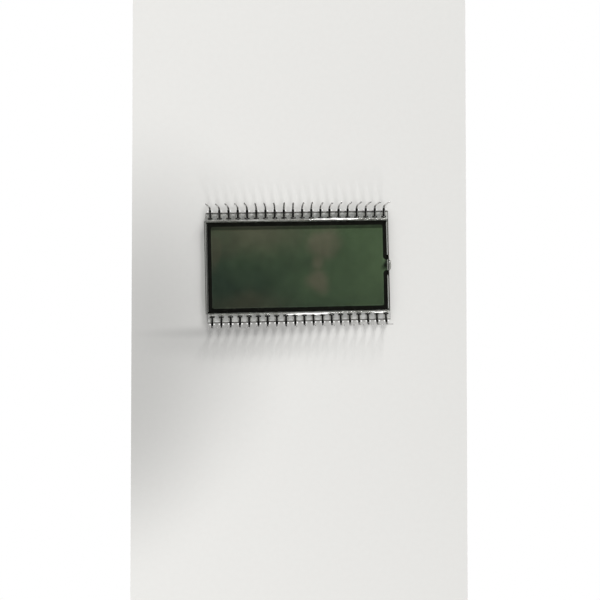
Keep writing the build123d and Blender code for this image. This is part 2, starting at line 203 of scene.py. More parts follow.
class PinSettings(bpy.types.PropertyGroup):
    """Sizes and plating of the stamped pins."""

    metal_thickness: length("Metal thickness", "Thickness of the stamped strip", 0.25)
    leg_width: length("Leg width", "Width of the leg", 0.45)
    leg_row: length("Leg row", "Distance from the middle to the legs", 16.51)
    leg_bend: length("Leg bend", "Reach of the bend at the foot of the leg", 0.6)
    leg_bend_rise: length("Leg bend rise", "Height over which the leg bends upright", 1.2)
    tip_chamfer: length("Tip chamfer", "Chamfer at the corners of the leg's tip", 0.12)
    finger_width: length("Finger width", "Width of the finger between the slits", 0.62)
    finger_reach: length("Finger reach", "How far the finger reaches over the ledge", 1.92)
    finger_tip: length("Finger tip", "Length of the finger's lifted tip", 0.15)
    finger_lift: length("Finger lift", "Height of the finger's lifted tip", 0.1)
    finger_contact: length("Finger contact", "Length of the finger that lies on the paste", 0.2)
    finger_arch: length("Finger arch", "Height of the strip above the contact", 0.08)
    tine_width: length("Tine width", "Width of each outer tine", 0.38)
    tine_gap: length("Tine gap", "Distance between the two tines", 0.69)
    tine_reach: length("Tine reach", "How far the tines reach under the glass", 1.85)
    tine_tip: length("Tine tip", "Length of the flat at the end of a tine", 0.2)
    flare_length: length("Flare length", "Length over which a tine bends away from the glass", 0.35)
    flare: length("Flare", "How far a tine bends away from the glass", 0.12)
    tine_bow: length("Tine bow", "How far a tine stands off the glass near its edge", 0.1)
    tine_bow_length: length("Tine bow length", "Length over which a tine rises to the glass", 0.5)
    tine_twist: length("Tine twist", "How far a tine's outer edge hangs below its inner edge", 0.1)
    tine_bend: length("Tine bend", "Radius of the tines' bends round the glass edge", 0.16)
    edge_clearance: length("Edge clearance", "Gap between the glass edge and the tines", 0.06)
    shoulder_straight: length("Shoulder straight", "Full width part of the shoulder", 0.08)
    waist_length: length("Waist length", "Distance from the tines' root to the waist", 0.15)
    waist_width: length("Waist width", "Width of the shoulder at its waist", 0.84)
    shoulder_length: length("Shoulder length", "Length over which the shoulder narrows", 0.3)
    edge_round: length("Edge round", "Rounding of the stamped edges", 0.012)
    lean: degrees("Lean", "Largest lean of a leg out of true", 1.3)
    splay: degrees("Splay", "Outward lean of the legs at the ends of a row", 3.5)
    lower_lean: degrees("Lower lean", "Lean of the lower row's legs towards the glass", 2.6)
    plating: tone("Plating", "Colour of the tin plating", (0.58, 0.575, 0.56))
    plating_dull: tone("Dull plating", "Colour of the plating where it is dull", (0.3, 0.295, 0.285))
    # Painted light: the legs are lightened towards this higher up
    painted_leg_light: tone("Bright tin", "Colour of the plating at the leg tips", (0.86, 0.855, 0.84))
    # Partly painted highlight: the near-white matt tin stands in for the glints under the glass and beside
    # the finger
    matt_tin_and_glint: tone("Matt tin", "Colour of the matt tin under the glass", (0.94, 0.935, 0.92))
    # Painted shade: the plating is darkened towards this at the bends and on the pressed finger
    painted_bend_shade: tone("Tarnish", "Colour of the plating at the bends", (0.07, 0.068, 0.066))


class CellSettings(bpy.types.PropertyGroup):
    """Tones of the glass, the films and the crystal, and the sizes of the resin."""

    crystal_green: tone("Crystal green", "Main tone of the crystal", (0.142, 0.205, 0.128))
    crystal_deep: tone("Crystal deep", "Tone towards the -X, -Y corner", (0.048, 0.072, 0.06))
    # Partly painted reflection: the tone of the warm patches
    crystal_warm_and_reflected: tone("Crystal warm", "Warm tone of the faint blotches", (0.192, 0.182, 0.146))
    seal: tone("Seal", "Tone of the seal", (0.006, 0.0052, 0.0052))
    film: tone("Film", "Light that passes a polarising film", (0.89, 0.9, 0.87))
    glass: tone("Glass", "Light that passes a glass face", (0.975, 0.983, 0.975))
    # Partly painted shade: the scribed edges are darkened for the shade along the glass edges
    glass_edge_and_shade: tone("Glass edge", "Tone of the scribed glass edges", (0.098, 0.093, 0.083))
    glass_edge_passes: tone("Glass edge light", "Light that passes the scribed edges", (0.2, 0.205, 0.19))
    # Painted shade: a dark line of this width along the long edges of the faces
    painted_edge_line_width: length("Glass edge band", "Width of the scribe line along the long edges", 0.22)
    # The ledge bloom is partly painted light that lifts the ledges
    bloom: tone("Ledge bloom", "Tone of the thin bloom on the ledges", (0.95, 0.95, 0.94))
    ledge_haze_and_light: fraction("Ledge haze", "Share of the bloom on the ledges", 0.24)
    oxide: tone("Oxide film", "Light that passes the conductive film", (0.98, 0.98, 0.97))
    paste: tone("Paste", "Tone of the conductive paste", (0.006, 0.006, 0.006))
    resin: tone("Resin", "Light that passes the cured resin", (0.97, 0.97, 0.94))
    # Also the colour of the painted highlights in the beads
    milk_and_highlight: tone("Milk", "Tone of the milky places in the resin", (0.93, 0.93, 0.9))
    plug_grey: tone("Plug grey", "Tone of the clouded resin of the plug", (0.24, 0.25, 0.225))
    milk_sheen: fraction("Milk sheen", "Silvery share of the milky places", 0.4)
    bead_reach: length("Bead reach", "How far the bead reaches over the ledge", 0.55)
    bead_height: length("Bead height", "Height of the bead on the rear glass", 0.5)
    bead_margin: length("Bead margin", "Distance of the bead from the glass ends", 0.35)
    bead_step: length("Bead step", "Spacing of the bead's sections", 0.5)
    plug_length: length("Plug length", "Length of the plug along the glass edge", 3.0)
    plug_height: length("Plug height", "Height of the plug", 2.0)
    plug_bulge: length("Plug bulge", "How far the plug stands out", 0.47)


class StageSettings(bpy.types.PropertyGroup):
    """Floor, lamps and camera."""

    floor: tone("Floor", "Tone of the pale table sheet", (0.806, 0.801, 0.781))
    ground_size: length("Ground size", "Side of the white ground round the sheet", 1600.0)
    sheet_size: numbers("Sheet size", "Width and length of the pale sheet", "LENGTH", (0.094, 0.4))
    sheet_middle: length("Sheet middle", "Place of the sheet's middle along X", 0.87)
    sheet_turn: degrees("Sheet turn", "Turn of the sheet on the ground", -1.22)
    key_power: FloatProperty(name="Key power", description="Power of the main lamp in watts", default=1.7)
    fill_power: FloatProperty(name="Fill power", description="Power of the second lamp in watts", default=0.9)
    focal_length: FloatProperty(
        name="Focal length", description="Focal length of the lens in millimetres", default=30.0
    )
    camera_turn: numbers(
        "Camera turn",
        "Turns about X, Y and Z that bring the display's axes onto the camera's",
        "ROTATION",
        tuple(math.radians(turn) for turn in (-0.72, 2.58, 1.22)),
    )
    camera_place: numbers(
        "Camera place",
        "Way from the middle of the display to the camera, along the camera's own axes",
        "LENGTH",
        (0.00037, -0.0093, 0.13885),
    )


def settings():
    """The settings of the pins, the cell and the stage."""
    return bpy.context.scene.display_pins, bpy.context.scene.display_cell, bpy.context.scene.display_stage


# Modelling helpers


def start_piece(name):
    """The active object, just added, gets its name and its place in its mesh."""
    piece = bpy.context.active_object
    piece.name = name
    piece.data.name = name
    bpy.ops.object.transform_apply(location=True, rotation=True, scale=True)
    return piece


def add_plane(name, size, location):
    bpy.ops.object.select_all(action="DESELECT")
    bpy.ops.mesh.primitive_plane_add(size=size, location=location)
    return start_piece(name)


def select_only(piece):
    bpy.ops.object.select_all(action="DESELECT")
    piece.select_set(True)
    bpy.context.view_layer.objects.active = piece


def open_piece():
    """Edit mode, with all of the active piece selected."""
    bpy.ops.object.mode_set(mode="EDIT")
    bpy.ops.mesh.select_all(action="SELECT")


def close_piece():
    """Points the faces outwards and leaves edit mode."""
    bpy.ops.mesh.select_all(action="SELECT")
    bpy.ops.mesh.normals_make_consistent(inside=False)
    bpy.ops.object.mode_set(mode="OBJECT")


def pick_vertices(piece, wanted):
    """In edit mode, selects the vertices that the test wants, and the edges and faces between them."""
    mesh = bmesh.from_edit_mesh(piece.data)
    for vertex in mesh.verts:
        vertex.select_set(wanted(vertex.co))
    mesh.select_flush_mode()
    mesh.select_mode = {"VERT"}
    mesh.select_flush(True)
    bmesh.update_edit_mesh(piece.data)


def draw_out(path):
    """Extrudes the selected edges along the points of a path in YZ."""
    for before, after in zip(path, path[1:]):
        step = (0, after[0] - before[0], after[1] - before[1])
        bpy.ops.mesh.extrude_edges_move(TRANSFORM_OT_translate={"value": step})


def narrow(share, y, z):
    """Scales the selected edge at Y and Z to a share of its width."""
    bpy.ops.transform.resize(value=(share, 1, 1), center_override=(0, y, z))


def turn_about_x(centre_y, centre_z, angle, steps):
    """Bends the selected edges round an axis along X, from +Y towards +Z for a positive angle."""
    bpy.ops.mesh.spin(
        steps=steps, angle=-angle, center=(0, centre_y, centre_z), axis=(1, 0, 0), use_auto_merge=False
    )


def turn_round():
    """In edit mode, turns the selection half round to the display's other long side."""
    bpy.ops.transform.rotate(value=math.pi, orient_axis="Z", center_override=(0, 0, 0))


def apply_modifier(piece, kind, **values):
    modifier = piece.modifiers.new(kind.title(), kind)
    for key, value in values.items():
        setattr(modifier, key, value)
    bpy.ops.object.modifier_apply(modifier=modifier.name)


def near(value, target, slack=PLACE_SLACK):
    return abs(value - target) < slack


def shares(steps):
    """The ends of equal steps from nothing to one."""
    return [n / steps for n in range(1, steps + 1)]


def ease(share):
    """A share that starts and ends level."""
    return share * share * (3 - 2 * share)


# Material helpers


def add_node(tree, kind, inputs=None, **values):
    node = tree.nodes.new(kind)
    for key, value in values.items():
        setattr(node, key, value)
    for key, value in (inputs or {}).items():
        if isinstance(value, bpy.types.NodeSocket):
            tree.links.new(value, node.inputs[key])
        else:
            node.inputs[key].default_value = value
    return node


def wire(tree, kind, inputs, **values):
    """Adds a node and gives its first output."""
    return add_node(tree, kind, inputs, **values).outputs[0]


def new_material(name):
    material = bpy.data.materials.new(name)
    material.use_nodes = True
    tree = material.node_tree
    tree.nodes.clear()
    place = add_node(tree, "ShaderNodeTexCoord").outputs["Object"]
    return material, tree, place


def close_material(material, surface):
    add_node(material.node_tree, "ShaderNodeOutputMaterial", {"Surface": surface})
    return material


def colour(rgb):
    return (*rgb, 1.0)


def times(rgb, level):
    return [channel * level for channel in rgb]


def noise(tree, place, scale, detail=3.0, roughness=0.5, stretch=(1, 1, 1)):
    """Noise with about scale features in a metre, stretched along the axes."""
    spread = wire(tree, "ShaderNodeMapping", {"Vector": place, "Scale": stretch})
    inputs = {"Vector": spread, "Scale": scale, "Detail": detail, "Roughness": roughness}
    return add_node(tree, "ShaderNodeTexNoise", inputs).outputs["Fac"]


def ramp(tree, value, *stops):
    """A colour ramp over a value, from pairs of position and colour or grey."""
    node = add_node(tree, "ShaderNodeValToRGB", {"Fac": value})
    while len(node.color_ramp.elements) < len(stops):
        node.color_ramp.elements.new(0.5)
    for element, (position, shade) in zip(node.color_ramp.elements, stops):
        element.position = position
        element.color = colour(shade) if hasattr(shade, "__len__") else (shade, shade, shade, 1.0)
    return node.outputs["Color"]


def to_range(tree, value, low, high, from_low=0.0, from_high=1.0):
    """A value brought from one range to another, and held at its ends."""
    inputs = {"Value": value, "From Min": from_low, "From Max": from_high, "To Min": low, "To Max": high}
    return wire(tree, "ShaderNodeMapRange", inputs)


def below(tree, value, level, fade):
    """One up to a level, and nothing from the fade above it."""
    return to_range(tree, value, 1.0, 0.0, level, level + fade)


def above(tree, value, level, fade):
    """Nothing up to a level, and one from the fade above it."""
    return to_range(tree, value, 0.0, 1.0, level, level + fade)


def maths(tree, operation, *values):
    """The result of an operation on values and numbers."""
    return wire(tree, "ShaderNodeMath", dict(enumerate(values)), operation=operation)


def axes_of(tree, vector):
    """The X, Y and Z of a vector."""
    return add_node(tree, "ShaderNodeSeparateXYZ", {"Vector": vector}).outputs


def vector_maths(tree, operation, *values):
    """The result of an operation on vectors, tones and levels."""
    return wire(tree, "ShaderNodeVectorMath", dict(enumerate(values)), operation=operation)


def mix_colour(tree, factor, first, second):
    return add_node(tree, "ShaderNodeMix", {0: factor, 6: first, 7: second}, data_type="RGBA").outputs[2]


def mix_shader(tree, factor, first, second):
    return wire(tree, "ShaderNodeMixShader", {0: factor, 1: first, 2: second})


def bump(tree, height, strength, distance):
    return wire(tree, "ShaderNodeBump", {"Height": height, "Strength": strength, "Distance": distance})


def matt(tree, rgb):
    return wire(tree, "ShaderNodeBsdfDiffuse", {"Color": rgb})


def principled(tree, inputs):
    return wire(tree, "ShaderNodeBsdfPrincipled", inputs)


def clear_surface(tree, passes, ior, roughness, normal=None):
    """A see-through face: light passes it, and its outside has a gloss that follows the angle."""
    relief = {} if normal is None else {"Normal": normal}
    gloss_inputs = {"Color": (1, 1, 1, 1), "Roughness": roughness, **relief}
    through = wire(tree, "ShaderNodeBsdfTransparent", {"Color": passes})
    gloss = wire(tree, "ShaderNodeBsdfAnisotropic", gloss_inputs)
    angle = wire(tree, "ShaderNodeFresnel", {"IOR": ior, **relief})
    inside = add_node(tree, "ShaderNodeNewGeometry").outputs["Backfacing"]
    share = maths(tree, "MULTIPLY", angle, maths(tree, "SUBTRACT", 1.0, inside))
    return mix_shader(tree, share, through, gloss)


def soft_spot(tree, place, centre, radii):
    """A value that falls gently from one at the centre to nothing at the radii, all in millimetres."""
    scale = [1 / (radius * MM) for radius in radii]
    shift = [-middle * MM * share for middle, share in zip(centre, scale)]
    inputs = {"Vector": place, "Location": (*shift, 0), "Scale": (*scale, 0)}
    spread = wire(tree, "ShaderNodeMapping", inputs)
    cone = add_node(tree, "ShaderNodeTexGradient", {"Vector": spread}, gradient_type="SPHERICAL")
    return wire(tree, "ShaderNodeMapRange", {"Value": cone.outputs["Fac"]}, interpolation_type="SMOOTHSTEP")


# Materials


def glass_material(name, cell):
    """Float glass: clear faces with faint wipe marks, a bloom on the ledges that is partly painted light, and
    dark scribed edges with a painted shade line along the long edges.
    """
    material, tree, place = new_material(name)
    smear = noise(tree, place, 260.0, 4.0, 0.6, (1, 3, 1))
    clear = clear_surface(tree, colour(cell.glass), GLASS_IOR, to_range(tree, smear, 0.02, 0.07, 0.35, 0.7))
    across = axes_of(tree, place)["Y"]
    out_y = maths(tree, "ABSOLUTE", across)
    # A matt bloom on the ledges, partly painted light that lifts them, stronger towards -Y
    on_ledge = to_range(tree, out_y, 0.0, cell.ledge_haze_and_light, REAR_HIGH.y - 0.1 * MM, REAR_HIGH.y + 0.3 * MM)
    on_ledge = maths(tree, "MULTIPLY", on_ledge, to_range(tree, smear, 0.7, 1.3, 0.35, 0.7))
    on_ledge = maths(tree, "MULTIPLY", on_ledge, to_range(tree, across, 1.8, 0.8, FRONT_LOW.y, FRONT_HIGH.y))
    clear = mix_shader(tree, on_ledge, clear, matt(tree, colour(cell.bloom)))

    # Scribed edges, darkened as painted shade
    grain = noise(tree, place, 9000.0, 2.0, 0.6, (0.2, 0.2, 1))
    edge_and_shade_tone = ramp(tree, grain, (0.3, times(cell.glass_edge_and_shade, 0.7)), (0.75, times(cell.glass_edge_and_shade, 1.6)))
    body = principled(
        tree, {"Base Color": edge_and_shade_tone, "Roughness": 0.28, "Normal": bump(tree, grain, 0.5, 0.03 * MM)}
    )
    passes = wire(tree, "ShaderNodeBsdfTransparent", {"Color": colour(cell.glass_edge_passes)})
    edge = mix_shader(tree, 0.6, passes, body)
    facing = add_node(tree, "ShaderNodeTexCoord").outputs["Normal"]
    level = to_range(tree, maths(tree, "ABSOLUTE", axes_of(tree, facing)["Z"]), 0.0, 1.0, 0.55, 0.9)
    # Painted shade: a dark line along the long edges of the faces
    band = cell.painted_edge_line_width
    inner = below(tree, out_y, FRONT_HIGH.y - band * 1.3, band * 0.3)
    return close_material(material, mix_shader(tree, maths(tree, "MULTIPLY", level, inner), edge, clear))


def film_material(name, cell):
    """A polarising film: dark see-through, semi-gloss, with a faint orange peel."""
    material, tree, place = new_material(name)
    peel = noise(tree, place, 1500.0, 2.0, 0.5)
    wave = noise(tree, place, 60.0, 2.0, 0.5)
    rough = to_range(tree, wave, 0.05, 0.1, 0.3, 0.7)
    clear = clear_surface(tree, colour(cell.film), FILM_IOR, rough, bump(tree, peel, 0.06, 0.02 * MM))
    haze = matt(tree, ramp(tree, wave, (0.3, (0.05, 0.055, 0.045)), (0.7, (0.07, 0.075, 0.06))))
    return close_material(material, mix_shader(tree, 0.03, clear, haze))


def crystal_material(cell):
    """The crystal between the films: green, deeper towards -X and -Y, warm in patches that are partly painted
    reflections, dark by the port, with a painted shadow of the seal along +Y.
    """
    material, tree, place = new_material("crystal")
    axes = axes_of(tree, place)
    lift = to_range(tree, noise(tree, place, 70.0, 2.0, 0.5), 0.35, 0.65, 0.3, 0.7)
    for axis, drift, reach in CRYSTAL_DRIFTS:
        lift = maths(tree, "ADD", lift, to_range(tree, axes[axis], -drift, drift, -reach, reach))
    green = ramp(tree, lift, (0.0, cell.crystal_deep), (1.0, cell.crystal_green))

    swirl = add_node(tree, "ShaderNodeTexNoise", {"Vector": place, "Scale": 130.0, "Detail": 2.0})
    swirl = vector_maths(tree, "SUBTRACT", swirl.outputs["Color"], (0.5, 0.5, 0.5))
    patch_place = vector_maths(tree, "MULTIPLY_ADD", swirl, (PATCH_STRAY, PATCH_STRAY, 0), place)
    # Warm patches, partly painted reflections
    warm = 0.0
    for centre, radii, strength, full in WARM_AND_REFLECTED_PATCHES:
        patch = to_range(tree, soft_spot(tree, patch_place, centre, radii), 0.0, strength, 0.0, full)
        warm = maths(tree, "MAXIMUM", warm, patch)
    deep_warm, light_warm = colour(times(cell.crystal_warm_and_reflected, 0.52)), colour(times(cell.crystal_warm_and_reflected, 1.32))
    tinted = mix_colour(tree, warm, green, mix_colour(tree, lift, deep_warm, light_warm))

    centre, radii, left = PORT_SHADE
    port = to_range(tree, soft_spot(tree, patch_place, centre, radii), 1.0, left, 0.1, 0.8)
    # Painted shadow of the seal along the +Y edge
    width, fade, left = PAINTED_SEAL_SHADOW
    edge_y = CRYSTAL_EDGE_Y - width
    edge = to_range(tree, axes["Y"], 1.0, left, edge_y - fade, edge_y)
    tinted = vector_maths(tree, "MULTIPLY", tinted, maths(tree, "MULTIPLY", edge, port))
    inputs = {"Base Color": tinted, "Roughness": 0.6, "Specular IOR Level": 0.1}
    return close_material(material, principled(tree, inputs))


def dark_material(name, shade, lift, scale):
    """A dark matt finish with a fine mottle."""
    material, tree, place = new_material(name)
    mottle = noise(tree, place, scale, 3.0, 0.6)
    inputs = {
        "Base Color": ramp(tree, mottle, (0.3, shade), (0.75, times(shade, lift))),
        "Roughness": 0.55,
        "Specular IOR Level": 0.04,
        "Normal": bump(tree, mottle, 0.3, 0.03 * MM),
    }
    return close_material(material, principled(tree, inputs))


def oxide_material(name, cell):
    """The transparent conductive film: barely seen, a little warmer than the glass."""
    material, tree, place = new_material(name)
    cloud = noise(tree, place, 400.0, 2.0, 0.5)
    passes = ramp(tree, cloud, (0.3, times(cell.oxide, 0.96)), (0.7, cell.oxide))
    return close_material(material, clear_surface(tree, passes, OXIDE_IOR, 0.05))


def resin_material(name, cell, milky_and_highlight_tone, gloss_roughness, haze_share, highlight_spots=()):
    """Clear cured resin with a lumpy gloss and a little milky haze in it, and painted highlights of whiter,
    silvery milky resin at the highlight spots.
    """
    material, tree, place = new_material(name)
    lumps = noise(tree, place, 900.0, 3.0, 0.55)
    normal = bump(tree, lumps, 0.6, 0.1 * MM)
    clear = clear_surface(tree, colour(cell.resin), RESIN_IOR, gloss_roughness, normal)
    inputs = {
        "Base Color": ramp(tree, lumps, (0.3, times(milky_and_highlight_tone, 0.85)), (0.6, milky_and_highlight_tone)),
        "Metallic": cell.milk_sheen,
        "Roughness": 0.3,
        "Normal": normal,
    }
    streaks = noise(tree, place, 420.0, 3.0, 0.6, (1, 2.5, 1))
    share = to_range(tree, streaks, haze_share * 0.5, haze_share * 1.5, 0.35, 0.65)
    # Painted highlights: the resin turns milky at the listed spots
    for centre, radii, most in highlight_spots:
        spot = to_range(tree, soft_spot(tree, place, centre, radii), 0.0, most, 0.0, 0.4)
        spot = maths(tree, "MULTIPLY", spot, to_range(tree, streaks, 0.7, 1.0, 0.35, 0.5))
        share = maths(tree, "MAXIMUM", share, spot)
    return close_material(material, mix_shader(tree, share, clear, principled(tree, inputs)))


def plating_material(pins):
    """Tin plating, with painted light: lighter up the legs, near-white and matt under the glass and by the
    stem as painted glints, darkened at the bends and the pressed finger tip as painted shade.
    """
    material, tree, place = new_material("tin_plating")
    drawn = noise(tree, place, 2500.0, 3.0, 0.6, (4, 1, 0.4))
    patch = noise(tree, place, 420.0, 3.0, 0.6)
    base = ramp(tree, patch, (0.36, pins.plating_dull), (0.62, pins.plating))
    axes = axes_of(tree, place)
    out_y = maths(tree, "ABSOLUTE", axes["Y"])
    height = axes["Z"]

    # Painted shade at the bends round the glass edge and on the finger pressed on the ledge, broken up by the
    # patches
    low = below(tree, height, LEDGE_Z + 0.7 * MM, 0.9 * MM)
    bends = maths(tree, "MULTIPLY", low, above(tree, out_y, FRONT_HIGH.y - 0.1 * MM, 0.2 * MM))
    contact_y = FRONT_HIGH.y - pins.finger_reach + pins.finger_tip + pins.finger_contact
    on_ledge = above(tree, height, LEDGE_Z - 0.1 * MM, 0.1 * MM)
    pressed = maths(tree, "MULTIPLY", on_ledge, below(tree, out_y, contact_y, 0.3 * MM))
    painted_shade = maths(tree, "MAXIMUM", bends, pressed)
    painted_shade = maths(tree, "MULTIPLY", painted_shade, to_range(tree, patch, 0.7, 1.0, 0.35, 0.6))
    base = mix_colour(tree, painted_shade, base, colour(pins.painted_bend_shade))

    # Painted light: the legs grow lighter from a little above the ledge towards their tips
    painted_light_share = to_range(tree, height, 0.0, 0.7, LEDGE_Z + 1.8 * MM, LEDGE_Z + 4.0 * MM)
    base = mix_colour(tree, painted_light_share, base, colour(pins.painted_leg_light))

    # Matt tin under the glass and beside the finger, near-white as a painted highlight for the glints there
    under = below(tree, height, FRONT_LOW.z + 0.02 * MM, 0.1 * MM)
    under = maths(tree, "MULTIPLY", under, below(tree, out_y, FRONT_HIGH.y, 0.05 * MM))
    aside = maths(tree, "SUBTRACT", maths(tree, "WRAP", axes["X"], 0.0, PIN_PITCH), PIN_PITCH / 2)
    aside = above(tree, maths(tree, "ABSOLUTE", aside), pins.finger_width / 2, 0.05 * MM)
    beside = maths(tree, "MULTIPLY", aside, below(tree, height, LEDGE_Z + 0.5 * MM, 0.2 * MM))
    matt_and_glint = maths(tree, "MAXIMUM", under, beside)
    rough = to_range(tree, drawn, 0.1, 0.24, 0.3, 0.7)
    inputs = {
        "Base Color": mix_colour(tree, matt_and_glint, base, colour(pins.matt_tin_and_glint)),
        "Metallic": to_range(tree, matt_and_glint, 1.0, 0.15),
        "Roughness": wire(tree, "ShaderNodeMix", {0: matt_and_glint, 2: rough, 3: 0.5}),
        "Normal": bump(tree, drawn, 0.2, 0.004 * MM),
    }
    return close_material(material, principled(tree, inputs))


# Cell


def dress(node_name, material):
    """Gives a CAD node its finish."""
    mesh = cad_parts[node_name].data
    mesh.materials.clear()
    mesh.materials.append(material)


def lay_apart(node_name, material):
    """A copy of a thin CAD layer, a hair thinner, so that it shares no face with its neighbours."""
    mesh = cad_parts[node_name].data.copy()
    piece = bpy.data.objects.new(f"{node_name}_layer", mesh)
    bpy.context.scene.collection.objects.link(piece)
    select_only(piece)
    low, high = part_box(node_name)
    middle = (0, 0, (low.z + high.z) / 2)
    open_piece()
    bpy.ops.mesh.remove_doubles(threshold=CUT_SLACK)
    bpy.ops.transform.resize(value=(1, 1, 1 - 2 * FACE_GAP / (high.z - low.z)), center_override=middle)
    bpy.ops.object.mode_set(mode="OBJECT")
    mesh.materials.clear()
    mesh.materials.append(material)
    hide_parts(node_name)
    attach(piece, "root")


class DISPLAY_OT_finish_cell(bpy.types.Operator):
    """Gives the plates, films, seal, crystal and printed patches their finishes"""

    bl_idname = "display.finish_cell"
    bl_label = "Finish the cell"

    def execute(self, context):
        cell = settings()[1]
        glass = glass_material("float_glass", cell)
        film = film_material("polarising_film", cell)
        oxide = oxide_material("conductive_oxide", cell)
        paste = dark_material("conductive_paste", tuple(cell.paste), lift=1.8, scale=4000.0)
        seal = dark_material("seal_epoxy", tuple(cell.seal), lift=1.5, scale=3000.0)
        dress("front_glass", glass)
        dress("rear_glass", glass)
        lay_apart("front_polarizer", film)
        lay_apart("rear_polarizer", film)
        lay_apart("segment_electrodes", oxide)
        lay_apart("common_electrode", oxide)
        lay_apart("liquid_crystal", crystal_material(cell))
        lay_apart("perimeter_seal", seal)
        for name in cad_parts:
            if name.startswith(("contact_paste", "crossover_dot")):
                dress(name, paste)
        return {"FINISHED"}


# Pins


def pin_places(pins):
    """The heights, depths and half widths that the parts of a pin share, at the middle of the metal."""
    half_metal = pins.metal_thickness / 2
    contact_z = PASTE_TOP_Z + half_metal
    back_y = FRONT_HIGH.y + pins.edge_clearance + half_metal
    return SimpleNamespace(
        contact_z=contact_z,
        strip_z=contact_z + pins.finger_arch,
        pressed_z=FRONT_LOW.z - half_metal,
        back_y=back_y,
        root_y=back_y + pins.tine_bend,
        finger_half=pins.finger_width / 2,
        tine_inner=pins.tine_gap / 2,
        tine_outer=pins.tine_gap / 2 + pins.tine_width,
    )


def draw_leg(blank, pins, at):
    """The shoulder, its waist and the leg, drawn out from the outer edge of the strip."""
    shoulder_y = at.root_y + pins.shoulder_straight
    waist_y = at.root_y + pins.waist_length
    leg_root_y = at.root_y + pins.shoulder_length
    pick_vertices(blank, lambda co: near(co.y, shoulder_y))
    draw_out([(shoulder_y, at.strip_z), (waist_y, at.strip_z)])
    narrow(pins.waist_width / (2 * at.tine_outer), waist_y, at.strip_z)
    draw_out([(waist_y, at.strip_z), (leg_root_y, at.strip_z)])
    narrow(pins.leg_width / pins.waist_width, leg_root_y, at.strip_z)

    bend_y = pins.leg_row - pins.leg_bend
    path = [(leg_root_y, at.strip_z), (bend_y, at.strip_z)]
    for share in shares(LEG_BEND_STEPS):
        turned = math.pi / 2 * share
        rise = pins.leg_bend_rise * (1 - math.cos(turned))
        path.append((bend_y + pins.leg_bend * math.sin(turned), at.strip_z + rise))
    foot_z = at.strip_z + pins.leg_bend_rise
    chamfer_z = PIN_TOP_Z - pins.tip_chamfer
    path += [(pins.leg_row, foot_z + (chamfer_z - foot_z) * share) for share in shares(LEG_STEPS)]
    draw_out([*path, (pins.leg_row, PIN_TOP_Z)])
    narrow(1 - 2 * pins.tip_chamfer / pins.leg_width, pins.leg_row, PIN_TOP_Z)


def draw_finger(blank, pins, at):
    """The finger, drawn out from the inner edge of the strip: an arch, the contact and a lifted tip."""
    edge_y = FRONT_HIGH.y
    tip_y = edge_y - pins.finger_reach
    flat_y = tip_y + pins.finger_tip
    contact_y = flat_y + pins.finger_contact
    path = [(at.root_y, at.strip_z), (edge_y, at.strip_z)]
    for share in shares(CURVE_STEPS):
        height = at.strip_z + (at.contact_z - at.strip_z) * ease(share)
        path.append((edge_y + (contact_y - edge_y) * share, height))
    path += [
        (flat_y, at.contact_z),
        (flat_y - pins.finger_tip / 2, at.contact_z + pins.finger_lift * TIP_CURL),
        (tip_y, at.contact_z + pins.finger_lift),
    ]
    pick_vertices(blank, lambda co: near(co.y, at.root_y) and abs(co.x) < at.finger_half + SEAM_SLACK)
    draw_out(path)


def draw_tine(blank, pins, at, side):
    """One tine, drawn out from the inner edge of the strip: bent round the glass, bowed and flared."""
    bowed_z = at.pressed_z - pins.tine_bow
    bow_y = at.back_y - pins.tine_bend
    pressed_y = bow_y - pins.tine_bow_length
    tip_y = FRONT_HIGH.y - pins.tine_reach
    flare_y = tip_y + pins.tine_tip + pins.flare_length

    def at_root(co):
        return near(co.y, at.root_y) and near(co.z, at.strip_z) and side * co.x > at.tine_inner - SEAM_SLACK

    def at_outer_edge(co):
        pressed = near(co.z, at.pressed_z) and flare_y + PLACE_SLACK < co.y < pressed_y + PLACE_SLACK
        return pressed and near(co.x, side * at.tine_outer)

    pick_vertices(blank, at_root)
    turn_about_x(at.root_y, at.strip_z - pins.tine_bend, math.pi / 2, CURVE_STEPS)
    draw_out([(at.back_y, at.strip_z - pins.tine_bend), (at.back_y, bowed_z + pins.tine_bend)])
    turn_about_x(bow_y, bowed_z + pins.tine_bend, -math.pi / 2, CURVE_STEPS)
    path = [(bow_y, bowed_z)]
    for share in shares(CURVE_STEPS):
        rise = pins.tine_bow * math.sin(share * math.pi / 2)
        path.append((bow_y - pins.tine_bow_length * share, bowed_z + rise))
    path += [(pressed_y + (flare_y - pressed_y) * share, at.pressed_z) for share in shares(FLAT_STEPS)]
    for share in shares(FLAT_STEPS):
        path.append((flare_y - pins.flare_length * share, at.pressed_z - pins.flare * ease(share)))
    draw_out([*path, (tip_y, at.pressed_z - pins.flare)])
    pick_vertices(blank, at_outer_edge)
    bpy.ops.transform.translate(value=(0, 0, -pins.tine_twist))


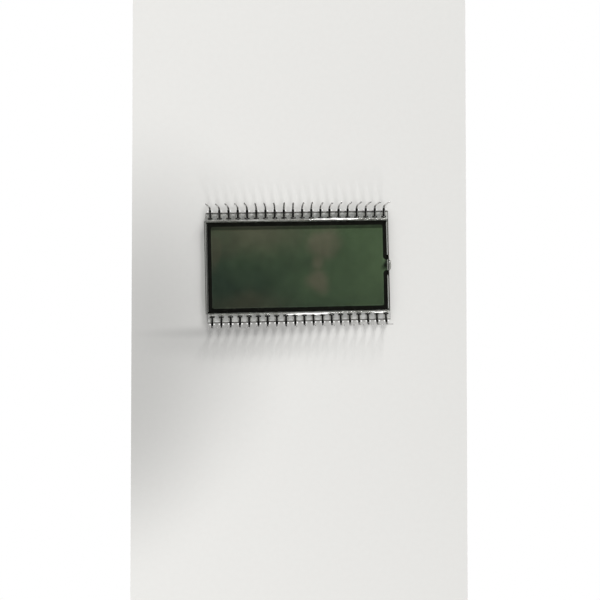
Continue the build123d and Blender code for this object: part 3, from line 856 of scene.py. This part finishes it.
def model_pin(pins, at):
    """One stamped pin of the upper row at X = 0: a bent sheet, thickened and rounded."""
    blank = add_plane("pin_blank", 1, (0, 0, 0))
    open_piece()
    straight = pins.shoulder_straight
    bpy.ops.transform.resize(value=(2 * at.tine_outer, straight, 1), center_override=(0, 0, 0))
    bpy.ops.transform.translate(value=(0, at.root_y + straight / 2, at.strip_z))
    for x in (-at.tine_inner, -at.finger_half, at.finger_half, at.tine_inner):
        bpy.ops.mesh.select_all(action="SELECT")
        bpy.ops.mesh.bisect(plane_co=(x, 0, 0), plane_no=(1, 0, 0), threshold=CUT_SLACK)
    draw_leg(blank, pins, at)
    draw_finger(blank, pins, at)
    for side in (1, -1):
        draw_tine(blank, pins, at, side)
    bpy.ops.mesh.select_all(action="SELECT")
    bpy.ops.mesh.remove_doubles(threshold=SEAM_SLACK)
    close_piece()
    apply_modifier(blank, "SOLIDIFY", thickness=pins.metal_thickness, offset=0.0, use_even_offset=True)
    sharp_edges = {"limit_method": "ANGLE", "angle_limit": SHARP_ANGLE, "use_clamp_overlap": True}
    apply_modifier(blank, "BEVEL", width=pins.edge_round, segments=2, **sharp_edges)
    bpy.ops.object.shade_smooth_by_angle(angle=SMOOTH_ANGLE)
    return blank


class DISPLAY_OT_shape_pins(bpy.types.Operator):
    """Models a stamped clip pin and copies it along both glass edges"""

    bl_idname = "display.shape_pins"
    bl_label = "Shape the pins"

    def execute(self, context):
        pins = settings()[0]
        at = pin_places(pins)
        foot_z = at.strip_z + pins.leg_bend * LEAN_START
        foot = (0, pins.leg_row, foot_z)
        blank = model_pin(pins, at)
        blank.data.materials.append(plating_material(pins))
        chance = random.Random(PIN_SEED)
        for name in PIN_NODES:
            low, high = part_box(name)
            select_only(blank)
            bpy.ops.object.duplicate(linked=False)
            piece = bpy.context.active_object
            piece.name = name.replace("pin", "stamped_pin")
            bpy.ops.object.mode_set(mode="EDIT")
            pick_vertices(piece, lambda co: co.z > foot_z)
            middle_x = (low.x + high.x) / 2
            splay = -pins.splay * middle_x / FRONT_HIGH.x
            bent_in = 0.0
            if "lower" in name:
                splay, bent_in = -splay, -pins.lower_lean
            for axis, share, bent in (("Y", 1.0, splay), ("X", CROSS_LEAN, bent_in)):
                lean = chance.uniform(-1, 1) * pins.lean * share + bent
                bpy.ops.transform.rotate(value=lean, orient_axis=axis, center_override=foot)
            bpy.ops.mesh.select_all(action="SELECT")
            if "lower" in name:
                turn_round()
            bpy.ops.transform.translate(value=(middle_x, 0, 0))
            bpy.ops.object.mode_set(mode="OBJECT")
            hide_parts(name)
            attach(piece, "root")
        bpy.data.objects.remove(blank)
        return {"FINISHED"}


# Resin


def wander(chance, count, low, high):
    """Smooth wandering factors for a hand-laid bead."""
    waves = [
        (chance.uniform(0.05, 0.9), chance.uniform(0, 6.28), chance.uniform(0.3, 1.0))
        for _ in range(WAVE_COUNT)
    ]
    total = sum(height for _, _, height in waves)
    factors = []
    for index in range(count):
        level = sum(height * math.sin(rate * index + start) for rate, start, height in waves) / total
        factors.append((low + high) / 2 + (high - low) / 2 * level * WAVE_GAIN)
    return [min(max(factor, low), high) for factor in factors]


def model_bead(cell, name, seed, swells):
    """A bead of resin in the corner between the +Y ledge and the rear glass."""
    chance = random.Random(seed)
    start_x = FRONT_LOW.x + cell.bead_margin
    end_x = FRONT_HIGH.x - cell.bead_margin
    count = round((end_x - start_x) / cell.bead_step)
    step = (end_x - start_x) / count
    corner = (REAR_HIGH.y, LEDGE_Z)
    outer_y = corner[0] + cell.bead_reach
    top_z = corner[1] + cell.bead_height
    bpy.ops.object.select_all(action="DESELECT")
    bpy.ops.mesh.primitive_cube_add(
        size=1,
        location=(start_x + step / 2, corner[0] + cell.bead_reach / 2, corner[1] + cell.bead_height / 2),
        scale=(step, cell.bead_reach, cell.bead_height),
    )
    bead = start_piece(name)
    bpy.ops.object.mode_set(mode="EDIT")
    pick_vertices(bead, lambda co: near(co.y, outer_y) and near(co.z, top_z))
    bpy.ops.mesh.bevel(
        offset=cell.bead_height * BEAD_ROUND, segments=6, affect="EDGES", profile=BEAD_FULLNESS
    )
    widths = wander(chance, count + 1, *BEAD_WIDTHS)
    heights = wander(chance, count + 1, *BEAD_HEIGHTS)
    for index in range(count + 1):
        for middle, half, size in swells:
            away = abs(start_x + index * step - middle * MM) / (half * MM)
            widths[index] += size * math.cos(min(away, 1) * math.pi / 2) ** 0.5
    for index in range(1, count):
        end = start_x + index * step
        pick_vertices(bead, lambda co: near(co.x, end))
        bpy.ops.mesh.extrude_region_move(TRANSFORM_OT_translate={"value": (step, 0, 0)})
    for index in range(count + 1):
        end = start_x + index * step
        taper = BEAD_END if index in (0, count) else 1.0
        pick_vertices(bead, lambda co: near(co.x, end, step / 4))
        bpy.ops.transform.resize(
            value=(1, widths[index] * taper, heights[index] * taper), center_override=(end, *corner)
        )
    close_piece()
    bpy.ops.object.shade_smooth_by_angle(angle=SHARP_ANGLE)
    return bead


class DISPLAY_OT_lay_resin(bpy.types.Operator):
    """Lays the wavy resin beads along both ledges"""

    bl_idname = "display.lay_resin"
    bl_label = "Lay the ledge resin"

    def execute(self, context):
        cell = settings()[1]
        for name, seed in BEAD_SEEDS.items():
            bead = model_bead(cell, f"resin_bead_{name}", seed, SWELLS[name])
            if name == "lower":
                open_piece()
                turn_round()
                bpy.ops.object.mode_set(mode="OBJECT")
            finish = {"gloss_roughness": 0.06, "haze_share": 0.15, "highlight_spots": MILKY_HIGHLIGHT_SPOTS[name]}
            bead.data.materials.append(resin_material(f"ledge_resin_{name}", cell, cell.milk_and_highlight, **finish))
            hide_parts(f"ledge_resin_{name}")
            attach(bead, "root")
        return {"FINISHED"}


class DISPLAY_OT_fill_plug(bpy.types.Operator):
    """Models the lump of resin that closes the fill port"""

    bl_idname = "display.fill_plug"
    bl_label = "Fill the port plug"

    def execute(self, context):
        cell = settings()[1]
        centre = (FRONT_HIGH.x, 0, (FRONT_LOW.z + REAR_HIGH.z) / 2)
        bpy.ops.object.select_all(action="DESELECT")
        bpy.ops.mesh.primitive_uv_sphere_add(segments=32, ring_count=20, radius=1, location=(0, 0, 0))
        plug = start_piece("port_plug")
        open_piece()
        bpy.ops.transform.resize(
            value=(cell.plug_bulge, cell.plug_length / 2, cell.plug_height / 2), center_override=(0, 0, 0)
        )
        bpy.ops.transform.translate(value=centre)
        bpy.ops.mesh.bisect(
            plane_co=centre, plane_no=(-1, 0, 0), clear_outer=True, use_fill=True, threshold=CUT_SLACK
        )
        bpy.ops.mesh.select_all(action="SELECT")
        bpy.ops.mesh.bisect(plane_co=(0, 0, LEDGE_Z), plane_no=(0, 0, 1), threshold=CUT_SLACK)
        pick_vertices(plug, lambda co: near(co.x, centre[0]) and co.z > LEDGE_Z - SEAM_SLACK)
        bpy.ops.mesh.extrude_region_move(TRANSFORM_OT_translate={"value": (REAR_HIGH.x - FRONT_HIGH.x, 0, 0)})
        close_piece()
        bpy.ops.object.shade_smooth_by_angle(angle=SMOOTH_ANGLE)
        resin = resin_material("plug_resin", cell, cell.plug_grey, gloss_roughness=0.25, haze_share=0.65)
        plug.data.materials.append(resin)
        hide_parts("fill_port_plug")
        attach(plug, "root")
        return {"FINISHED"}


# Stage


def sheet_material(stage):
    """A pale matt sheet, a little darker towards +X and +Y, with soft painted shadows beside the display."""
    material, tree, place = new_material("table_sheet")
    grain = noise(tree, place, 700.0, 3.0, 0.6)
    base = ramp(tree, grain, (0.3, times(stage.floor, 0.985)), (0.7, stage.floor))
    axes = axes_of(tree, place)
    level = 1.0
    for axis, fall, reach in SHEET_FALLS:
        level = maths(tree, "MULTIPLY", level, to_range(tree, axes[axis], 1 + fall, 1 - fall, -reach, reach))
    for centre, radii, depth in SHEET_PAINTED_SHADOWS:
        # Each painted shadow lowers the sheet's level towards its middle
        shade = to_range(tree, soft_spot(tree, place, centre, radii), 1.0, 1 - depth)
        level = maths(tree, "MULTIPLY", level, shade)
    inputs = {"Color": vector_maths(tree, "MULTIPLY", base, level), "Roughness": 0.4}
    return close_material(material, wire(tree, "ShaderNodeBsdfDiffuse", inputs))


def shown_share(tree, rays):
    """One for the rays that show a background: seen, mirrored or through glass. Nothing for its light."""
    mirrored = maths(tree, "MAXIMUM", rays.outputs["Is Glossy Ray"], rays.outputs["Is Transmission Ray"])
    return maths(tree, "MAXIMUM", rays.outputs["Is Camera Ray"], mirrored)


def ground_material():
    """The white ground round the sheet, plain white to the rays that show a background."""
    material, tree, place = new_material("white_ground")
    grain = noise(tree, place, 300.0, 2.0, 0.5)
    lit = matt(tree, ramp(tree, grain, (0.3, 0.84), (0.7, 0.86)))
    glow = wire(tree, "ShaderNodeEmission", {"Color": (1, 1, 1, 1)})
    rays = add_node(tree, "ShaderNodeLightPath")
    return close_material(material, mix_shader(tree, shown_share(tree, rays), lit, glow))


def add_lamp(name, azimuth, elevation, side, power):
    """A square soft lamp aimed at the display. Azimuth is counted from +X towards +Y, in degrees."""
    data = bpy.data.lights.new(name, "AREA")
    data.shape = "SQUARE"
    data.size = side
    data.energy = power
    lamp = bpy.data.objects.new(name, data)
    bpy.context.scene.collection.objects.link(lamp)
    a, e = math.radians(azimuth), math.radians(elevation)
    way = Vector((math.cos(a) * math.cos(e), math.sin(a) * math.cos(e), math.sin(e)))
    lamp.location = way * LAMP_DISTANCE
    lamp.rotation_euler = way.to_track_quat("Z", "Y").to_euler()


def make_world():
    """Soft light from a bright ring, and a white background that is dark overhead in what mirrors it."""
    world = bpy.data.worlds.new("studio")
    bpy.context.scene.world = world
    world.use_nodes = True
    tree = world.node_tree
    tree.nodes.clear()
    way = add_node(tree, "ShaderNodeTexCoord").outputs["Generated"]
    height = axes_of(tree, way)["Z"]
    sky = ramp(tree, height, *RING_LEVELS, *OVERHEAD_LEVELS)
    lit = wire(tree, "ShaderNodeBackground", {"Color": sky})
    rays = add_node(tree, "ShaderNodeLightPath")
    mirrored = ramp(tree, height, (0.0, 1.0), *OVERHEAD_LEVELS)
    white = mix_colour(tree, rays.outputs["Is Camera Ray"], mirrored, colour((1, 1, 1)))
    seen = wire(tree, "ShaderNodeBackground", {"Color": white})
    surface = mix_shader(tree, shown_share(tree, rays), lit, seen)
    add_node(tree, "ShaderNodeOutputWorld", {"Surface": surface})


def place_camera(stage):
    """The camera looks down at the display, a little turned, from beside its middle."""
    data = bpy.data.cameras.new("camera")
    data.lens = stage.focal_length
    data.sensor_width = 36.0
    data.clip_start = 5 * MM
    data.clip_end = 5.0
    camera = bpy.data.objects.new("camera", data)
    bpy.context.scene.collection.objects.link(camera)
    turn = Matrix.Identity(3)
    for angle, axis in zip(stage.camera_turn, "XYZ"):
        turn = turn @ Matrix.Rotation(angle, 3, axis)
    turn.transpose()
    camera.rotation_euler = turn.to_euler()
    camera.location = turn @ Vector(stage.camera_place) + Vector((0, 0, LEDGE_Z))
    bpy.context.scene.camera = camera


class DISPLAY_OT_set_stage(bpy.types.Operator):
    """Adds the floor, the lamps, the world and the camera"""

    bl_idname = "display.set_stage"
    bl_label = "Set the stage"

    def execute(self, context):
        stage = settings()[2]
        floor_z = CAD_BOX[0].z
        middle = (stage.sheet_middle, 0, floor_z)
        ground = add_plane("ground", stage.ground_size, (0, 0, floor_z - GROUND_DROP))
        ground.data.materials.append(ground_material())
        sheet = add_plane("table_sheet", 1, middle)
        open_piece()
        bpy.ops.transform.resize(value=(*stage.sheet_size, 1), center_override=middle)
        bpy.ops.transform.rotate(value=-stage.sheet_turn, orient_axis="Z", center_override=middle)
        bpy.ops.object.mode_set(mode="OBJECT")
        sheet.data.materials.append(sheet_material(stage))
        add_lamp("key_lamp", azimuth=70, elevation=36, side=0.16, power=stage.key_power)
        add_lamp("fill_lamp", azimuth=-80, elevation=34, side=0.14, power=stage.fill_power)
        make_world()
        place_camera(stage)
        context.scene.view_settings.view_transform = "Standard"
        context.scene.cycles.transparent_max_bounces = SEE_THROUGH_BOUNCES
        return {"FINISHED"}


class DISPLAY_PT_panel(bpy.types.Panel):
    """The settings and the steps"""

    bl_idname = "DISPLAY_PT_panel"
    bl_label = "Segment display"
    bl_space_type = "VIEW_3D"
    bl_region_type = "UI"
    bl_category = "Display"

    def draw(self, context):
        for group in settings():
            box = self.layout.box()
            for key in group.bl_rna.properties.keys():
                if key not in ("rna_type", "name"):
                    box.prop(group, key)
        for step in STEPS:
            self.layout.operator(step.bl_idname)


STEPS = (
    DISPLAY_OT_finish_cell,
    DISPLAY_OT_shape_pins,
    DISPLAY_OT_lay_resin,
    DISPLAY_OT_fill_plug,
    DISPLAY_OT_set_stage,
)
CLASSES = (PinSettings, CellSettings, StageSettings, *STEPS, DISPLAY_PT_panel)


def register():
    for cls in CLASSES:
        bpy.utils.register_class(cls)
    bpy.types.Scene.display_pins = PointerProperty(type=PinSettings)
    bpy.types.Scene.display_cell = PointerProperty(type=CellSettings)
    bpy.types.Scene.display_stage = PointerProperty(type=StageSettings)


def unregister():
    del bpy.types.Scene.display_stage
    del bpy.types.Scene.display_cell
    del bpy.types.Scene.display_pins
    for cls in reversed(CLASSES):
        bpy.utils.unregister_class(cls)


def main():
    register()
    bpy.ops.display.finish_cell()
    bpy.ops.display.shape_pins()
    bpy.ops.display.lay_resin()
    bpy.ops.display.fill_plug()
    bpy.ops.display.set_stage()


if __name__ == "__main__":
    main()
